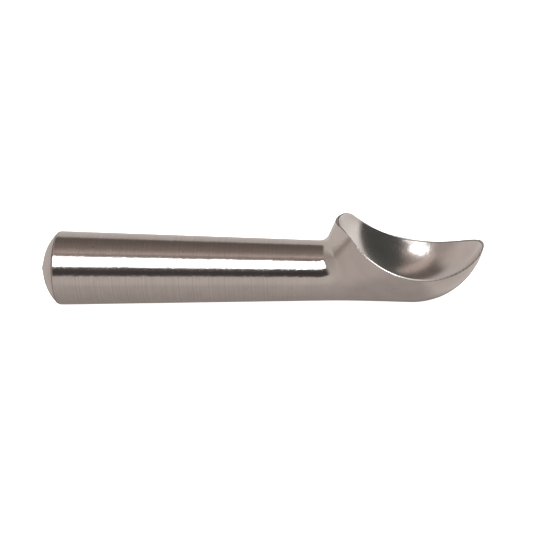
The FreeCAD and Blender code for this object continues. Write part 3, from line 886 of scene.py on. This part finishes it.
def spin_outline(outline, closed):
    """A bmesh spun round X from a half outline of (along, radius) corners."""
    mesh = bmesh.new()
    corners = [mesh.verts.new((along, 0, radius)) for along, radius in outline]
    pairs = list(zip(corners, corners[1:])) + ([(corners[-1], corners[0])] if closed else [])
    edges = [mesh.edges.new(pair) for pair in pairs]
    bmesh.ops.spin(
        mesh, geom=corners + edges, cent=(0, 0, 0), axis=(1, 0, 0), angle=2 * math.pi,
        steps=SIDES, use_merge=True)
    bmesh.ops.remove_doubles(mesh, verts=mesh.verts, dist=WELD)
    return mesh


def round_ring(mesh, along, radius, rounding):
    """Round the ring edge that stands at (along, radius)."""
    def on_ring(corner):
        return (abs(corner.co.x - along) < EDGE_REACH
                and abs(math.hypot(corner.co.y, corner.co.z) - radius) < EDGE_REACH)

    ring = [edge for edge in mesh.edges if all(on_ring(corner) for corner in edge.verts)]
    round_off(mesh, ring, rounding, 5)


# %% End cap
SPIGOT_GAP = 0.03 * MM
SPIGOT_WALL = 3.2 * MM
SPIGOT_RADIUS = bore_radius - SPIGOT_GAP
RECESS_RADIUS = SPIGOT_RADIUS - SPIGOT_WALL
CROWN_DEPTH = 1.5 * MM
GROOVE_FLOOR = 10.26 * MM
GROOVE_MIDDLE = 8.0 * MM
GROOVE_HALF = 1.3 * MM
HOLE_RADIUS = 1.22 * MM
SEAT_RADIUS = 1.77 * MM
SEAT_DEPTH = 0.8 * MM
DOME_STEPS = 24

dome_radius = (BUTT_RADIUS ** 2 + CAP_HEIGHT ** 2) / 2 / CAP_HEIGHT
dome_middle = dome_radius - CAP_HEIGHT
dome_from = math.asin(SEAT_RADIUS / dome_radius)
dome_to = math.asin(BUTT_RADIUS / dome_radius)
outline = []
for step in range(DOME_STEPS + 1):
    lean = dome_from + (dome_to - dome_from) * step / DOME_STEPS
    outline.append((dome_middle - dome_radius * math.cos(lean), dome_radius * math.sin(lean)))
outline += [
    (0, SPIGOT_RADIUS),
    (GROOVE_MIDDLE - GROOVE_HALF, SPIGOT_RADIUS), (GROOVE_MIDDLE - GROOVE_HALF, GROOVE_FLOOR),
    (GROOVE_MIDDLE + GROOVE_HALF, GROOVE_FLOOR), (GROOVE_MIDDLE + GROOVE_HALF, SPIGOT_RADIUS),
    (SPIGOT_LENGTH, SPIGOT_RADIUS), (SPIGOT_LENGTH, RECESS_RADIUS), (CROWN_DEPTH, RECESS_RADIUS),
    (CROWN_DEPTH, HOLE_RADIUS), (SEAT_DEPTH - CAP_HEIGHT, HOLE_RADIUS),
    (SEAT_DEPTH - CAP_HEIGHT, SEAT_RADIUS)]
cap_mesh = spin_outline(outline, closed=True)
round_ring(cap_mesh, 0, BUTT_RADIUS, SEAM_ROUND)
bmesh.ops.transform(cap_mesh, matrix=PLACE_ON_GRIP, verts=cap_mesh.verts)
print("cap outline, corners:", len(outline))

# %% [markdown]
# Bar aluminium, faced on the lathe and buffed. The tool runs from the edge to the middle,
# so the rings are round the axis and a pattern along the radius draws them. The feed is
# 0.15 mm, drawn here at 0.5 mm.

# %% Cap finish
cap_skin, tree = new_material("bar_aluminium_faced_and_buffed")
vector = along_grip(tree)
apart = add_node(tree, "SeparateXYZ", {}, {"Vector": vector})
beside = add_node(tree, "Math", {"operation": "POWER"}, {0: apart.outputs["Y"], 1: 2.0})
above = add_node(tree, "Math", {"operation": "POWER"}, {0: apart.outputs["Z"], 1: 2.0})
both = add_node(tree, "Math", {"operation": "ADD"}, {0: beside, 1: above})
radius = add_node(tree, "Math", {"operation": "POWER"}, {0: both, 1: 0.5})
rings = add_node(tree, "TexNoise", {"noise_dimensions": "1D"}, {
    "W": radius, "Scale": 1 / (0.5 * MM), "Detail": 3.0})
hand = add_node(tree, "TexNoise", {}, {"Vector": vector, "Scale": 1 / (6 * MM), "Detail": 3.0})
ring_shade = add_node(tree, "MapRange", {}, {
    "Value": rings, "From Min": 0.3, "From Max": 0.75, "To Min": 0.0, "To Max": 0.10})
hand_shade = add_node(tree, "MapRange", {}, {
    "Value": hand, "From Min": 0.35, "From Max": 0.7, "To Min": 0.0, "To Max": 0.08})
darkening = add_node(tree, "Math", {"operation": "ADD"}, {0: ring_shade, 1: hand_shade})
roughness = add_node(tree, "MapRange", {}, {
    "Value": hand, "From Min": 0.3, "From Max": 0.7, "To Min": 0.18, "To Max": 0.26})
bare_metal(tree, darkening, roughness, [(rings, 0.006 * MM), (hand, 0.04 * MM)])
make_piece("end_cap_turned", cap_mesh, "end_cap", [cap_skin])

# %% [markdown]
# ## The fill plug
#
# The liquid goes in through a hole in the middle of the cap, and a small soft aluminium
# plug is driven in after it. Only its head shows, 0.6 mm proud of the dome. The punch that
# drives it leaves the head a little dished and dull.

# %% Fill plug
PLUG_HEAD_RADIUS = 1.75 * MM
PLUG_SHANK_RADIUS = 1.2 * MM
PLUG_HEAD_ROUND = 0.3 * MM
DISH_DEPTH = 0.08 * MM
DISH_HALFWAY = 0.05 * MM

head_top = -CAP_HEIGHT - PLUG_PROUD
plug_mesh = spin_outline([
    (head_top + DISH_DEPTH, 0), (head_top + DISH_HALFWAY, PLUG_HEAD_RADIUS / 2),
    (head_top, PLUG_HEAD_RADIUS),
    (SEAT_DEPTH - CAP_HEIGHT, PLUG_HEAD_RADIUS), (SEAT_DEPTH - CAP_HEIGHT, PLUG_SHANK_RADIUS),
    (CROWN_DEPTH, PLUG_SHANK_RADIUS), (CROWN_DEPTH, 0)], closed=False)
round_ring(plug_mesh, head_top, PLUG_HEAD_RADIUS, PLUG_HEAD_ROUND)
bmesh.ops.transform(plug_mesh, matrix=PLACE_ON_GRIP, verts=plug_mesh.verts)

plug_skin, tree = new_material("soft_aluminium_punched")
vector = along_grip(tree)
dents = add_node(tree, "TexNoise", {}, {"Vector": vector, "Scale": 1 / (0.6 * MM), "Detail": 2.0})
darkening = add_node(tree, "MapRange", {}, {
    "Value": dents, "From Min": 0.3, "From Max": 0.7, "To Min": 0.05, "To Max": 0.25})
roughness = add_node(tree, "MapRange", {}, {
    "Value": dents, "From Min": 0.3, "From Max": 0.7, "To Min": 0.25, "To Max": 0.4})
bare_metal(tree, darkening, roughness, [(dents, 0.03 * MM)])
make_piece("fill_plug_driven", plug_mesh, "fill_plug", [plug_skin])

# %% [markdown]
# ## What stays inside
#
# The seal ring and the liquid keep the CAD model's own meshes, whose shapes are right, and
# get a material each. The ring is moulded nitrile rubber: black, with a dull sheen and a
# fine grain from its mould, 0.1 mm, drawn at 0.3 mm. The liquid is water and glycol, dyed
# so that a leak shows. It is clear, so it takes a glass-like surface at its own low index.

# %% Ring and liquid
rubber, tree = new_material("nitrile_rubber_moulded")
place = add_node(tree, "TexCoord", {}, {}).outputs["Object"]
grain = add_node(tree, "TexNoise", {}, {"Vector": place, "Scale": 1 / (0.3 * MM), "Detail": 2.0})
bloom = add_node(tree, "TexNoise", {}, {"Vector": place, "Scale": 1 / (3 * MM), "Detail": 2.0})
paleness = add_node(tree, "MapRange", {}, {"Value": bloom, "From Min": 0.4, "From Max": 0.7})
shade = add_node(tree, "Mix", {"data_type": "RGBA"}, {
    0: paleness, 6: linear("1b1b1c"), 7: linear("2a292a")})
roughness = add_node(tree, "MapRange", {}, {
    "Value": bloom, "From Min": 0.3, "From Max": 0.7, "To Min": 0.45, "To Max": 0.6})
raised = add_node(tree, "Bump", {}, {"Distance": 0.02 * MM, "Height": grain})
surface = add_node(tree, "BsdfPrincipled", {}, {
    "Base Color": shade.outputs[2], "Roughness": roughness, "Normal": raised})
add_node(tree, "OutputMaterial", {}, {"Surface": surface})

liquid, tree = new_material("dyed_water_and_glycol")
place = add_node(tree, "TexCoord", {}, {}).outputs["Object"]
dye = add_node(tree, "TexNoise", {}, {"Vector": place, "Scale": 1 / (20 * MM), "Detail": 1.0})
shade = add_node(tree, "Mix", {"data_type": "RGBA"}, {
    0: dye, 6: linear("cfe6a8"), 7: linear("bfdc8f")})
surface = add_node(tree, "BsdfPrincipled", {}, {
    "Base Color": shade.outputs[2], "Roughness": 0.02, "IOR": 1.38, "Transmission Weight": 1.0})
add_node(tree, "OutputMaterial", {}, {"Surface": surface})

for name, material in (("cap_seal_ring", rubber), ("heat_fluid", liquid)):
    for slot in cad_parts[name].material_slots:
        slot.material = material
    print(name, "slots:", len(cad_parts[name].material_slots))
